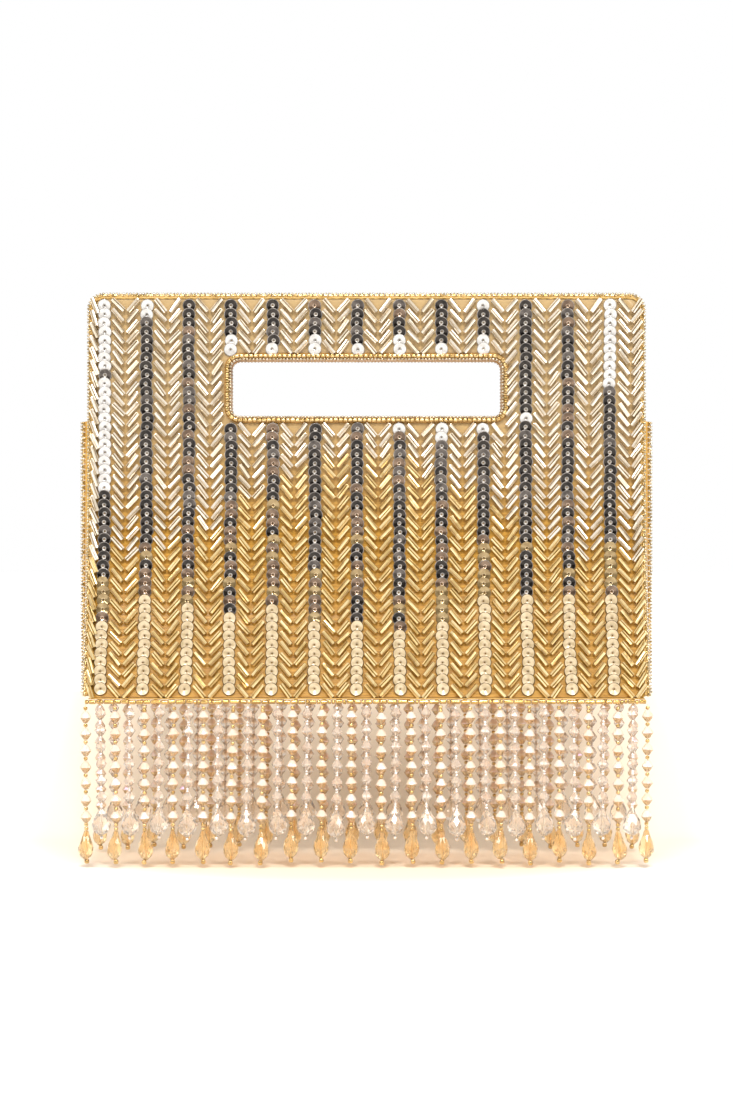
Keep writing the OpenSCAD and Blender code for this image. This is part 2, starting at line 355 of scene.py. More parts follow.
# The facing is the gold satin darkened as painted shade for the inside of the hand opening.
FACING_PAINTED_SHADE = satin("facing_satin_painted_shade", (0.36, 0.16, 0.02), (0.50, 0.25, 0.05))
LINING = satin("lining_satin", (0.70, 0.52, 0.27), (0.80, 0.64, 0.38), sheen=0.5)
CORD = satin("cord_satin", (0.46, 0.27, 0.06), (0.70, 0.46, 0.15), thread=0.18 * MM)
# Lined beads: their two tones, the length that one tint covers, metallic, and roughness where it differs
BEADS = {
    name: bead_metal(name, *look) for name, look in {
        "gold_bead": ((0.52, 0.32, 0.09), (0.78, 0.55, 0.23), 2.2 * MM, 0.75),
        "header_bead": ((0.43, 0.245, 0.05), (0.68, 0.42, 0.12), 2.4 * MM, 0.7),
        "picot_bead": ((0.42, 0.33, 0.19), (0.72, 0.63, 0.47), 1.6 * MM, 0.7),
        # The glass tones are much darker than the linings: on every third face of a bugle they paint a shade
        # line beside the bright lining.
        "silver_lining": ((0.82, 0.69, 0.51), (0.97, 0.88, 0.74), 5.0 * MM, 0.5, 0.14),
        "silver_glass": ((0.26, 0.18, 0.09), (0.45, 0.33, 0.19), 5.0 * MM, 0.5, 0.14),
        "gold_lining": ((0.74, 0.52, 0.20), (0.96, 0.76, 0.40), 5.0 * MM, 0.5, 0.14),
        "gold_glass": ((0.28, 0.145, 0.025), (0.46, 0.27, 0.06), 5.0 * MM, 0.5, 0.14),
        "silver_seed": ((0.84, 0.75, 0.66), (1.0, 0.94, 0.88), 2.0 * MM, 0.6),
    }.items()
}
CARD = card("card")
SNAP_GOLD = plated_metal("snap_gold", (0.93, 0.76, 0.42), (0.70, 0.50, 0.22))
WASHER_STEEL = plated_metal("washer_steel", (0.75, 0.75, 0.74), (0.50, 0.50, 0.50))
MAGNET = plated_metal("magnet", (0.24, 0.24, 0.25), (0.12, 0.12, 0.12))
THREAD = satin("thread", (0.72, 0.56, 0.30), (0.90, 0.78, 0.55), thread=0.1 * MM)

# Sequin films: their two tones, then metallic, roughness and coat where they differ
FILMS = {
    name: sequin_film(name, *look) for name, look in {
        "white_film": ((0.62, 0.59, 0.55), (0.80, 0.77, 0.73), 0.2, 0.25),
        "white_centre_painted_shade": ((0.38, 0.36, 0.34), (0.56, 0.54, 0.52), 0.3),
        "white_rim_painted_shadow": ((0.28, 0.26, 0.24), (0.42, 0.40, 0.37), 0.3),
        "dark_film": ((0.010, 0.007, 0.005), (0.040, 0.031, 0.024), 0.6, 0.14, 0.15),
        "dark_centre_painted_reflection": ((0.30, 0.265, 0.23), (0.52, 0.47, 0.41), 0.3, 0.25),
        "dark_rim_painted_highlight": ((0.16, 0.14, 0.12), (0.36, 0.32, 0.29), 0.5, 0.2),
        "grey_film": ((0.062, 0.050, 0.042), (0.13, 0.108, 0.092), 0.6, 0.14, 0.2),
        "bronze_film": ((0.12, 0.072, 0.042), (0.23, 0.150, 0.095), 0.6, 0.14, 0.3),
        "bronze_centre_painted_reflection": ((0.36, 0.24, 0.16), (0.55, 0.40, 0.29)),
        "tan_film": ((0.28, 0.185, 0.075), (0.42, 0.30, 0.14), 0.6),
        "tan_centre_painted_reflection": ((0.40, 0.28, 0.14), (0.60, 0.46, 0.26)),
        "cream_film": ((0.53, 0.40, 0.225), (0.70, 0.56, 0.355), 0.15, 0.3),
        "cream_centre_painted_shade": ((0.42, 0.31, 0.17), (0.60, 0.46, 0.28), 0.15, 0.3),
        "cream_rim_painted_shadow": ((0.07, 0.042, 0.012), (0.16, 0.10, 0.035), 0.4),
    }.items()
}
# Ring, centre and rim of each kind of sequin. The centres and rims are painted light: the pale centres of the
# dark, grey, bronze and tan sequins are painted reflection, the pale rims of the dark, grey and bronze ones
# painted highlight, the greyer centres of the white and cream ones painted shade round the hole, and their
# dark rims painted shadow between the overlapping discs.
SEQUIN_KINDS = {
    "white": ("white_film", "white_centre_painted_shade", "white_rim_painted_shadow"),
    "dark": ("dark_film", "dark_centre_painted_reflection", "dark_rim_painted_highlight"),
    "grey": ("grey_film", "dark_centre_painted_reflection", "dark_rim_painted_highlight"),
    "bronze": ("bronze_film", "bronze_centre_painted_reflection", "dark_rim_painted_highlight"),
    "tan": ("tan_film", "tan_centre_painted_reflection", "tan_film"),
    "cream": ("cream_film", "cream_centre_painted_shade", "cream_rim_painted_shadow"),
}

# The bicones' upper cones are less clear than their lower ones and show a pale tone of their own: painted
# highlight where the facets face the light above, with an iridescent coat on the amber ones as well.
AMBER_GLASS = crystal("amber_glass", (1.0, 0.70, 0.34), (1.0, 0.82, 0.52), 0.82)
AMBER_COAT_AND_HIGHLIGHT = crystal("amber_coat_and_highlight", (1.0, 0.80, 0.60), (1.0, 0.90, 0.77), 0.25, film=330.0, roughness=0.08)
CLEAR_GLASS = crystal("clear_glass", (1.0, 0.88, 0.76), (1.0, 0.94, 0.86), 0.85)
CLEAR_PAINTED_HIGHLIGHT = crystal("clear_painted_highlight", (1.0, 0.82, 0.67), (1.0, 0.90, 0.79), 0.70, roughness=0.08)


# ---- Meshes ----
class Soup:
    """Collects points and faces, each face with a material, and turns them into one object."""

    def __init__(self):
        self.points = []
        self.count = 0
        self.faces = []

    def add(self, points, faces):
        """faces is a list of (corners, material), each with the same number of corners to a face."""
        points = np.asarray(points, float).reshape(-1, 3)
        for corners, material in faces:
            self.faces.append((np.asarray(corners, np.int64) + self.count, material))
        self.points.append(points)
        self.count += len(points)

    def copies(self, template, origins, axes):
        """Adds the template at each origin, with axes[i] the directions of its x, y and z."""
        points, faces = template
        turned = np.einsum("pk,nkj->npj", points, np.asarray(axes, float))
        placed = np.asarray(origins, float)[:, None, :] + turned
        offsets = (np.arange(len(placed)) * len(points))[:, None, None]
        self.add(placed, [((corners[None] + offsets).reshape(-1, corners.shape[1]), material)
                          for corners, material in faces])

    def build(self, name, side="front", flat=()):
        """One mesh object, mirrored for the back. The faces of the materials in flat are not smoothed."""
        points, step = np.concatenate(self.points), 1
        if side == "back":
            points, step = points * (1, -1, 1), -1
        used = list(dict.fromkeys(material for _, material in self.faces))
        loops = np.concatenate([corners[:, ::step].ravel() for corners, _ in self.faces])
        totals = np.concatenate([np.full(len(corners), corners.shape[1]) for corners, _ in self.faces])
        slots = np.concatenate([np.full(len(corners), used.index(m)) for corners, m in self.faces])
        smooth = np.array([material not in flat for material in used])
        mesh = bpy.data.meshes.new(name)
        mesh.vertices.add(len(points))
        mesh.vertices.foreach_set("co", points.astype(np.float32).ravel())
        mesh.loops.add(len(loops))
        mesh.loops.foreach_set("vertex_index", loops.astype(np.int32))
        mesh.polygons.add(len(totals))
        mesh.polygons.foreach_set("loop_start", (np.cumsum(totals) - totals).astype(np.int32))
        for material in used:
            mesh.materials.append(material)
        mesh.polygons.foreach_set("material_index", slots.astype(np.int32))
        mesh.polygons.foreach_set("use_smooth", smooth[slots])
        mesh.update(calc_edges=True)
        mesh.validate()
        thing = bpy.data.objects.new(name, mesh)
        bpy.context.scene.collection.objects.link(thing)
        return thing


def revolve(rings, segments, materials):
    """A closed ring of (radius, height) points turned about z. materials has one entry per stretch."""
    count = len(rings)
    angles = [2 * math.pi * i / segments for i in range(segments)]
    points = np.array([(r * math.cos(a), r * math.sin(a), z) for r, z in rings for a in angles])
    faces = {}
    for k in range(count):
        low, high = k * segments, (k + 1) % count * segments
        corners = [(low + i, low + (i + 1) % segments, high + (i + 1) % segments, high + i)
                   for i in range(segments)]
        faces.setdefault(materials[k], []).extend(corners)
    return points, [(np.array(c), m) for m, c in faces.items()]


def tube_bead(radius, length, bore, segments, material, round_share=0.18):
    """A drilled bead along z with softened ends: a bugle when it is long and a seed when it is short."""
    half = length / 2
    soft = radius * round_share
    straight = half - soft * 1.6
    lower = [(bore, -half), (radius - soft * 1.6, -half), (radius - soft * 0.4, soft * 0.5 - half),
             (radius, -straight), (radius, 0.25 * radius - straight)]
    rings = lower + [(r, -z) for r, z in reversed(lower)]
    return revolve(rings, segments, [material] * len(rings))


def seed_bead(radius, length, bore, segments, material):
    """A round rocaille: an oval section turned about its bore."""
    middle, reach = (radius + bore) / 2, (radius - bore) / 2
    rings = [(middle + reach * math.cos(a), length / 2 * math.sin(a))
             for a in (2 * math.pi * i / 8 for i in range(8))]
    return revolve(rings, segments, [material] * 8)


def stack(*directions):
    return np.stack([np.asarray(d, float) for d in directions], axis=1)


def unit(vectors):
    vectors = np.asarray(vectors, float)
    return vectors / np.linalg.norm(vectors, axis=-1, keepdims=True)


def around(axis_z, hint):
    """Axes (n, 3, 3) whose z is axis_z and whose x is as near hint as it can be."""
    z = unit(axis_z)
    hint = np.broadcast_to(np.asarray(hint, float), z.shape)
    x = unit(hint - z * (hint * z).sum(-1, keepdims=True))
    return stack(x, np.cross(z, x), z)


def finish_piece(thing, body, slot, node):
    """Rides on a body, if one is given, and stands for a CAD node, whose part it hides. The slot is not used.
    """
    if body:
        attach(thing, body)
    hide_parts(node)


def finish_soup(soup, side, part, body, slot, node, flat=()):
    """Builds one side's piece from its soup and finishes it."""
    finish_piece(soup.build(f"{side}_{part}", side, flat), body, slot, f"{side}_{node}")


# ---- The wall that everything on a panel lies on, for the front ----
def flared(z):
    """0 above the flare and 1 at the foot."""
    return np.clip((FLARE - np.asarray(z, float)) / (FLARE - FOOT), 0, None)


def half_gap(z):
    t = flared(z)
    return MOUTH_Y + (BASE_Y - MOUTH_Y) * (1.5 * t**2 - 0.5 * t**3)


def gap_slope(z):
    t = flared(z)
    return -(BASE_Y - MOUTH_Y) * (3 * t - 1.5 * t**2) / (FLARE - FOOT)


def wall_normal(z):
    slope = gap_slope(z)
    return unit(np.stack([np.zeros_like(slope), -np.ones_like(slope), -slope], axis=-1))


def wall_up(z):
    slope = gap_slope(z)
    return unit(np.stack([np.zeros_like(slope), -slope, np.ones_like(slope)], axis=-1))


def on_wall(x, z, depth=FACE, height=0.0):
    """Points at a depth from the wall's inner face, raised along its normal."""
    x, z = np.broadcast_arrays(np.asarray(x, float), np.asarray(z, float))
    return np.stack([x, -(half_gap(z) + depth), z], axis=-1) + wall_normal(z) * height


def wall_axes(z, spin=0.0, pitch=0.0, roll=0.0):
    """Axes on the wall: x to the right, y up it and z outwards, spun in the wall and then tilted."""
    z = np.asarray(z, float)
    right = np.zeros((len(z), 3))
    right[:, 0] = 1
    up, out = wall_up(z), wall_normal(z)
    spin, pitch, roll = (np.broadcast_to(np.asarray(a, float), z.shape)[:, None] for a in (spin, pitch, roll))
    x = right * np.cos(spin) + up * np.sin(spin)
    y = up * np.cos(spin) - right * np.sin(spin)
    y, out = y * np.cos(pitch) + out * np.sin(pitch), out * np.cos(pitch) - y * np.sin(pitch)
    x, out = x * np.cos(roll) + out * np.sin(roll), out * np.cos(roll) - x * np.sin(roll)
    return stack(x, y, out)


def near_grip(x, z, beside, over):
    """True where a point is within those margins beside and over or under the hand opening."""
    return abs(x) < GRIP_HALF_W + beside and GRIP_FOOT - over < z < GRIP_TOP + over


# ---- Lines that beads and cords follow ----
def corner_arc(cx, cz, radius, start, steps=10):
    """Points of a quarter circle that starts at an angle in degrees and turns clockwise."""
    angles = [math.radians(start - 90 * i / steps) for i in range(steps + 1)]
    return [(cx + radius * math.cos(a), cz + radius * math.sin(a)) for a in angles]


def border_line(grow, foot, depth):
    """Up the left side of the panel, over the top and down the right side, outside its edge by grow."""
    radius, reach = CORNER + grow, HALF_W - CORNER
    left = [(-HALF_W - grow, z) for z in np.linspace(foot, TOP - CORNER, 90)[:-1]]
    over = corner_arc(-reach, TOP - CORNER, radius, 180) + corner_arc(reach, TOP - CORNER, radius, 90)
    right = [(-x, z) for x, z in reversed(left)]
    line = np.array(left + over + right)
    return on_wall(line[:, 0], line[:, 1], depth)


def grip_line(grow, depth):
    """Clockwise round the hand opening, outside its edge by grow, back to the start."""
    radius, reach = GRIP_R + grow, GRIP_HALF_W - GRIP_R
    high, low = GRIP_TOP - GRIP_R, GRIP_FOOT + GRIP_R
    line = (corner_arc(-reach, high, radius, 180) + corner_arc(reach, high, radius, 90)
            + corner_arc(reach, low, radius, 0) + corner_arc(-reach, low, radius, 270))
    line = np.array(line + line[:1])
    return on_wall(line[:, 0], line[:, 1], depth)


def resample(line, spacing):
    """Points a spacing apart along a line, with the line's direction at each."""
    line = np.asarray(line, float)
    ends = np.concatenate([[0], np.cumsum(np.linalg.norm(np.diff(line, axis=0), axis=1))])
    count = max(2, round(ends[-1] / spacing))
    at = (np.arange(count) + 0.5) / count * ends[-1]

    def along(s):
        return np.stack([np.interp(s, ends, line[:, k]) for k in range(3)], axis=-1)

    step = spacing / 2
    return along(at), unit(along(np.clip(at + step, 0, ends[-1])) - along(np.clip(at - step, 0, ends[-1])))


def bead_line(soup, template, line, spacing, rng, wobble=0.08):
    """Beads end to end along a line, each a little out of true."""
    points, tangents = resample(line, spacing)
    tilt = [[rng.uniform(-wobble, wobble) for _ in range(3)] for _ in points]
    soup.copies(template, points, around(tangents + tilt, (0.1, -1, 0.1)))


def cord_sweep(soup, line, out, wide, deep, twist, material, sides=12, spacing=0.7 * MM):
    """A two-ply cord along a line: an oval section, wide along out, whose two lobes turn once per twist."""
    points, tangents = resample(line, spacing)
    across = np.cross(tangents, out(points, tangents))
    out = np.cross(across, tangents)
    length = np.arange(len(points)) * spacing
    angles = np.arange(sides) * 2 * math.pi / sides
    lobes = 0.86 + 0.14 * np.cos(2 * (angles[None, :] - math.pi * length[:, None] / twist))
    rings = (points[:, None, :]
             + out[:, None, :] * (wide * lobes * np.cos(angles))[..., None]
             + across[:, None, :] * (deep * lobes * np.sin(angles))[..., None])
    n = len(points)
    index = np.arange(n * sides).reshape(n, sides)
    turned = np.roll(index, -1, axis=1)
    quads = np.stack([index[:-1], turned[:-1], turned[1:], index[1:]], axis=-1).reshape(-1, 4)
    caps = [(n * sides, turned[0, i], index[0, i]) for i in range(sides)]
    caps += [(n * sides + 1, index[-1, i], turned[-1, i]) for i in range(sides)]
    ends = np.stack([points[0], points[-1]])
    soup.add(np.concatenate([rings.reshape(-1, 3), ends]), [(quads, material), (caps, material)])


# ---- Cloths ----
def corner_inset(distance, radius):
    """How far a rounded corner draws in, at a distance from the end of the side."""
    gap = np.clip(radius - np.asarray(distance, float), 0, None)
    return radius - np.sqrt(np.clip(radius**2 - gap**2, 0, None))


def levels_down(start, radius, steps=5):
    """Heights down a rounded corner that starts at a level end."""
    return [start - radius * (1 - math.cos(math.pi / 2 * i / steps)) for i in range(steps + 1)]


def levels_to(end, radius, steps=5):
    """Heights down a rounded corner that finishes at a level end."""
    return [end + radius * (1 - math.sin(math.pi / 2 * i / steps)) for i in range(steps + 1)]


def grid_sheet(name, rows, thickness, material, keep=None, side="front"):
    """A cloth whose middle surface goes through rows of points (r, c, 3). keep says which cells are cloth."""
    rows = np.asarray(rows, float)
    r, c, _ = rows.shape
    index = np.arange(r * c).reshape(r, c)
    quads = np.stack([index[1:, :-1], index[1:, 1:], index[:-1, 1:], index[:-1, :-1]], axis=-1)
    quads = quads.reshape(-1, 4) if keep is None else quads[keep]
    used, places = np.unique(quads.ravel(), return_inverse=True)
    soup = Soup()
    soup.add(rows.reshape(-1, 3)[used], [(places.reshape(-1, 4), material)])
    sheet = soup.build(name, side)
    solid = sheet.modifiers.new("thickness", "SOLIDIFY")
    solid.thickness = thickness
    solid.offset = 0
    return sheet


def panel_sheet(name, depth, thickness, material, side, foot, foot_corner):
    """A cloth over the whole panel, with the hand opening cut out, at a depth of the wall."""
    grip_half, radius = GRIP_HALF_W + FACING_T, GRIP_R + FACING_T
    grip_top, grip_foot = GRIP_TOP + FACING_T, GRIP_FOOT - FACING_T
    zs = np.array(
        levels_down(TOP, CORNER) + list(np.linspace(TOP - CORNER, grip_top, 6)[1:])
        + levels_down(grip_top, radius)[1:] + list(np.linspace(grip_top - radius, grip_foot + radius, 6)[1:])
        + levels_to(grip_foot, radius)[1:] + list(np.linspace(grip_foot, foot + foot_corner, 34)[1:])
        + levels_to(foot, foot_corner)[1:]
    )
    outer = HALF_W - corner_inset(TOP - zs, CORNER) - corner_inset(zs - foot, foot_corner)
    beside = (zs < grip_top + 0.01 * MM) & (zs > grip_foot - 0.01 * MM)
    inner = np.full(len(zs), grip_half - radius)
    inner[beside] = (grip_half - corner_inset(grip_top - zs[beside], radius)
                     - corner_inset(zs[beside] - grip_foot, radius))
    flank, middle = np.linspace(0, 1, 17), np.linspace(-1, 1, 25)
    xs = np.concatenate([
        -outer[:, None] + (outer - inner)[:, None] * flank[None, :-1],
        inner[:, None] * middle[None, :],
        inner[:, None] + (outer - inner)[:, None] * flank[None, 1:],
    ], axis=1)
    keep = np.ones((len(zs) - 1, xs.shape[1] - 1), bool)
    keep[np.ix_(beside[:-1] & beside[1:], range(len(flank) - 1, len(flank) + len(middle) - 2))] = False
    return grid_sheet(name, on_wall(xs, zs[:, None], depth), thickness, material, keep, side)


# ---- Panels ----
def build_cloths(side):
    """Face cloth and lining of one panel."""
    for part, depth, thickness, material, slot, foot, foot_corner in (
        ("face_cloth", FACE - CLOTH_T / 2, CLOTH_T, FACE_SATIN_PAINTED_SHADE, "satin", FOOT - 1.7 * MM, 0.5 * MM),
        ("lining", LINING_T / 2, LINING_T, LINING, "lining", FOOT, CORNER),
    ):
        up_the_wall = np.diff(on_wall(0, np.linspace(foot, TOP, 200)), axis=0)
        node = f"{side}_{part}"
        cloth = panel_sheet(f"{node}_sheet", depth, thickness, material, side, foot, foot_corner)
        finish_piece(cloth, PANEL_BODY[side], slot, node)


def build_facing(side):
    """Satin strip round the hand opening, from the lining through the opening and onto the face, in the
    darker satin that paints the opening's shade.
    """
    turn = [(3.4, -0.2), (1.9, -0.2), (0.75, -0.17), (0.38, 0.1), (0.3, 0.5), (0.3, 1.5), (0.3, 2.5),
            (0.38, 3.0), (0.75, 3.22), (1.6, 3.25), (2.9, 3.25)]
    rows = np.stack([grip_line(grow * MM, depth * MM) for grow, depth in turn], axis=1)
    strip = grid_sheet(f"{side}_grip_facing_strip", rows, STRIP_T, FACING_PAINTED_SHADE, side=side)
    finish_piece(strip, PANEL_BODY[side], "satin", f"{side}_grip_facing")


def build_trims(side, rng):
    """Twisted cord and bead edging round the panel, and the bead ring round the hand opening."""
    cord, edge, ring = Soup(), Soup(), Soup()
    cord_sweep(cord, border_line(CORD_OUT, TRIM_FOOT, CORD_DEPTH),
               lambda points, tangents: np.cross(wall_normal(points[:, 2]), tangents),
               CORD_WIDE, CORD_DEEP, CORD_TWIST, CORD)
    bead_line(edge, EDGE_BEAD, border_line(EDGE_OUT, TRIM_FOOT, EDGE_DEPTH), EDGE_PITCH, rng)
    bead_line(edge, PICOT_SEED, border_line(PICOT_OUT, TRIM_FOOT, PICOT_DEPTH), PICOT_PITCH, rng, wobble=0.2)
    bead_line(ring, RING_BEAD, grip_line(RING_OUT, FACE + RING_LIFT), RING_PITCH, rng)
    bead_line(ring, PICOT_SEED, grip_line(INNER_OUT, FACE + INNER_LIFT), PICOT_PITCH, rng, wobble=0.2)
    for soup, part, slot, node in (
        (cord, "edge_cord_twist", "satin_cord", "edge_cord"),
        (edge, "edge_bead_line", "gold_beads", "edge_beads"),
        (ring, "grip_bead_ring", "gold_beads", "grip_beads"),
    ):
        finish_soup(soup, side, part, PANEL_BODY[side], slot, node)


# Mixes of sequins: each kind is drawn as often as it is named
MIXES = {
    "white": ["white"],
    "pearl": ["white", "grey", "white"],
    "grey": ["grey", "dark", "grey"],
    "dark": ["dark"] * 6 + ["grey"],
    "smoke": ["dark", "dark", "bronze", "dark", "bronze", "grey"],
    "bronze": ["dark", "bronze", "dark", "tan", "bronze"],
    "tan": ["tan", "bronze", "tan"],
    "cream": ["cream"],
}
# For each column from the left, the mixes from the top down, each with the height in mm at which it ends.
# What is left below them is cream
# The light and dark stretches down each column are partly the sequins' own colours and partly painted
# reflection, standing in for what each stretch of the panel reflects.
COLUMN_MIXES = [
    [("white", -2), ("pearl", -17), ("white", -55), ("dark", -92), ("tan", -114)],
    [("white", 18), ("dark", -79), ("bronze", -103)],
    [("smoke", -75), ("bronze", -96), ("tan", -104)],
    [("dark", 10), ("white", 0), ("dark", -50), ("smoke", -80), ("bronze", -109)],
    [("dark", 8), ("white", 0), ("smoke", -58), ("bronze", -105)],
    [("smoke", 10), ("white", 0), ("dark", -58), ("smoke", -90), ("tan", -112)],
    [("dark", 8), ("white", 0), ("smoke", -60), ("bronze", -113)],
    [("smoke", 10), ("white", -32), ("smoke", -66), ("dark", -95), ("bronze", -116)],
    [("smoke", 8), ("white", -36), ("grey", -60), ("smoke", -95), ("tan", -113)],
    [("white", 22), ("dark", 10), ("white", -32), ("dark", -75), ("tan", -103)],
    [("dark", -24), ("white", -28), ("dark", -78), ("bronze", -102)],
    [("smoke", -80), ("bronze", -101)],
    [("white", -12), ("dark", -78), ("tan", -100)],
]


def column_x(k):
    return COLUMN_SHIFT + COLUMN_PITCH * (k - (COLUMNS - 1) / 2)


def sequin_heights(k):
    """Heights of one column's sequins, from the top. A column at the hand opening is in two stretches."""
    full = np.linspace(SEQUIN_TOP, SEQUIN_FOOT, SEQUINS)
    if abs(column_x(k)) > GRIP_HALF_W + SEQUIN_R:
        return full
    under = round((SEQUIN_UNDER_GRIP - SEQUIN_FOOT) / (full[0] - full[1])) + 1
    return np.concatenate([full[:SEQUINS_OVER_GRIP], np.linspace(SEQUIN_UNDER_GRIP, SEQUIN_FOOT, under)])


def sequin(ring, centre, rim):
    """A cupped sequin with a flat middle, a small hole and a turned rim; its middle and rim carry the painted
    light of its kind.
    """
    rim_r = SEQUIN_R / MM
    rings = [(0.36, -0.12), (0.95, -0.08), (rim_r - 0.13, 0.18), (rim_r, 0.22), (rim_r, 0.33),
             (rim_r - 0.11, 0.36), (rim_r - 0.27, 0.3), (1.02, 0.08), (0.90, 0.02), (0.36, 0.0)]
    materials = [centre, ring, rim, rim, rim, rim, ring, ring, centre, centre]
    return revolve([(r * MM, z * MM) for r, z in rings], 18, materials)


def build_sequins(side, rng):
    """Columns of sequins, each lying over the lower part of the one above it."""
    groups = {kind: [] for kind in SEQUIN_KINDS}
    for k in range(COLUMNS):
        for z in sequin_heights(k):
            # A sequin's kind comes from its column's stretch, which is partly painted reflection.
            mix = next((name for name, end in COLUMN_MIXES[k] if z > end * MM), "cream")
            groups[rng.choice(MIXES[mix])].append((
                column_x(k) + rng.gauss(0, 0.18 * MM), z + rng.gauss(0, 0.1 * MM),
                rng.gauss(8.5, 1.0), rng.gauss(0, 2.5),
            ))
    soup = Soup()
    for kind, places in groups.items():
        x, z, pitch, roll = np.array(places).T
        axes = wall_axes(z, pitch=np.radians(pitch), roll=np.radians(roll))
        template = sequin(*(FILMS[name] for name in SEQUIN_KINDS[kind]))
        soup.copies(template, on_wall(x, z, FACE, SEQUIN_LIFT), axes)
    finish_soup(soup, side, "sequin_columns", PANEL_BODY[side], "sequins", "sequins")


def arch_height(x):
    """Height of the line between the silver and the gold bugles."""
    rise = ARCH_H * (1 + math.cos(math.pi * x / ARCH_HALF_W)) / 2 if abs(x) < ARCH_HALF_W else 0
    return rise - ARCH_FOOT


def bugle_arms():
    """The middle, the slant in degrees and the pitch of each stack of bugles."""
    quarter = (COLUMN_PITCH - 2 * SEQUIN_R) / 4
    arms = [(-HALF_W + 0.35 * MM, -69, 5.3 * MM)]
    for k in range(COLUMNS - 1):
        middle = column_x(k) + COLUMN_PITCH / 2
        arms += [(middle - quarter, -BUGLE_ANGLE, BUGLE_PITCH), (middle + quarter, BUGLE_ANGLE, BUGLE_PITCH)]
    last = column_x(COLUMNS - 1) + SEQUIN_R
    arms += [(last + quarter, -BUGLE_ANGLE, BUGLE_PITCH),
             (last + 2.85 * quarter, BUGLE_ANGLE + 5, BUGLE_PITCH)]
    return arms


def bugle(lining, glass):
    """A cut bugle bead: every third of its twelve long faces takes the darker glass tone as a painted shade
    line, the others the bright lining.
    """
    points, [(corners, _)] = tube_bead(BUGLE_R, BUGLE_L, 0.45 * MM, 12, lining, 0.08)
    shaded = corners[:, 0] % 12 % 3 == 0
    return points, [(corners[~shaded], lining), (corners[shaded], glass)]


def build_bugles(side, rng):
    """Herringbone of bugle beads, silver above the arched line and gold below it."""
    kinds = {"silver": [], "gold": []}
    for x, slant, pitch in bugle_arms():
        rows = round((BUGLE_TOP - BUGLE_FOOT) / pitch)
        for row in range(rows + 1):
            z = BUGLE_TOP - (BUGLE_TOP - BUGLE_FOOT) * row / rows + rng.gauss(0, 0.12 * MM)
            kind = "silver" if z + rng.gauss(0, 1.2 * MM) > arch_height(x) else "gold"
            bead = (x + rng.gauss(0, 0.12 * MM), z, slant + rng.gauss(0, 2.2), rng.gauss(0, 1.2),
                    rng.uniform(0, 360))
            if not near_grip(x, z, BARE_SATIN + 0.6 * MM, BARE_SATIN + 1.2 * MM):
                kinds[kind].append(bead)
    for kind, beads in kinds.items():
        x, z, slant, lift, turn = np.array(beads).T
        flat = wall_axes(z, spin=np.radians(slant), roll=np.radians(lift))
        turn = np.radians(turn)[:, None]
        out = flat[:, 2] * np.cos(turn) + flat[:, 1] * np.sin(turn)
        soup = Soup()
        # The bright lining and the painted shade lines of this kind of bugle.
        lining_and_painted_shade = BEADS[f"{kind}_lining"], BEADS[f"{kind}_glass"]
        soup.copies(bugle(*lining_and_painted_shade), on_wall(x, z, FACE, BUGLE_R + 0.02 * MM), around(flat[:, 0], out))
        slot = f"{kind}_bugles"
        finish_soup(soup, side, f"{kind}_bugle_rows", PANEL_BODY[side], slot, slot, flat=lining_and_painted_shade)


# ---- Base and gussets ----
def level_rows(half_x, ys, zs, columns=60):
    """Rows of points from right to left, one row for each y and z, for a sheet that faces down."""
    return np.array([[(x, y, z) for x in np.linspace(half_x, -half_x, columns)] for y, z in zip(ys, zs)])


def build_base():
    """Cloth under the base board and lining over it."""
    for node, box, material, slot in (
        ("base_cloth", (base_lo, base_hi), SATIN, "satin"),
        ("base_lining", (base_lining_lo, base_lining_hi), LINING, "lining"),
    ):
        level = (box[0].z + box[1].z) / 2
        ys = np.linspace(box[0].y, box[1].y, 12)
        cloth = grid_sheet(f"{node}_sheet", level_rows(box[1].x, ys, [level] * 12), CLOTH_T, material)
        finish_piece(cloth, ROOT, slot, node)


def build_tape(side):
    """Satin tape that carries the header beads, sewn under the base cloth along the bottom edge."""
    level = (tape_lo.z + tape_hi.z) / 2
    ys = [-tape_hi.y + 0.1 * MM, -24 * MM, -22 * MM, -20 * MM, -18.8 * MM, -18 * MM, -16.9 * MM, -15.4 * MM]
    zs = [level] * 4 + [level - 0.05 * MM, level - 0.35 * MM, level - 0.5 * MM, level - 0.5 * MM]
    rows = level_rows(tape_hi.x, ys, zs)
    tape = grid_sheet(f"{side}_fringe_tape_strip", rows, STRIP_T, SATIN, side=side)
    finish_piece(tape, ROOT, "satin", f"{side}_fringe_tape")


def gusset_rows():
    """Rows of points of the right gusset, from the top down and from the back wall to the front wall."""
    rng = random.Random("gusset folds")
    waves = [(rng.uniform(0.1, 0.25), rng.uniform(60, 160), rng.uniform(0, 6.3)) for _ in range(5)]
    rows = []
    for z in np.linspace(GUSSET_TOP, GUSSET_FOOT, 90):
        half = max(float(half_gap(z)), STRETCH_TO + 0.3 * MM)
        ys = np.concatenate([
            np.linspace(half, 0, 12)[:-1], np.linspace(0, -STRETCH_FROM, 4)[:-1],
            np.linspace(-STRETCH_FROM, -STRETCH_TO, 10)[:-1], np.linspace(-STRETCH_TO, -half, 10),
        ])
        share = 1 - np.abs(ys) / half
        folds = sum(size * MM * math.sin(pitch * z + turn) for size, pitch, turn in waves)
        bulge = GUSSET_BULGE * (1 - (1 - share) ** 2) + folds * np.sin(math.pi * share) ** 2
        rows.append(np.stack([HALF_W + bulge, ys, np.full(len(ys), z)], axis=-1))
    return np.array(rows)


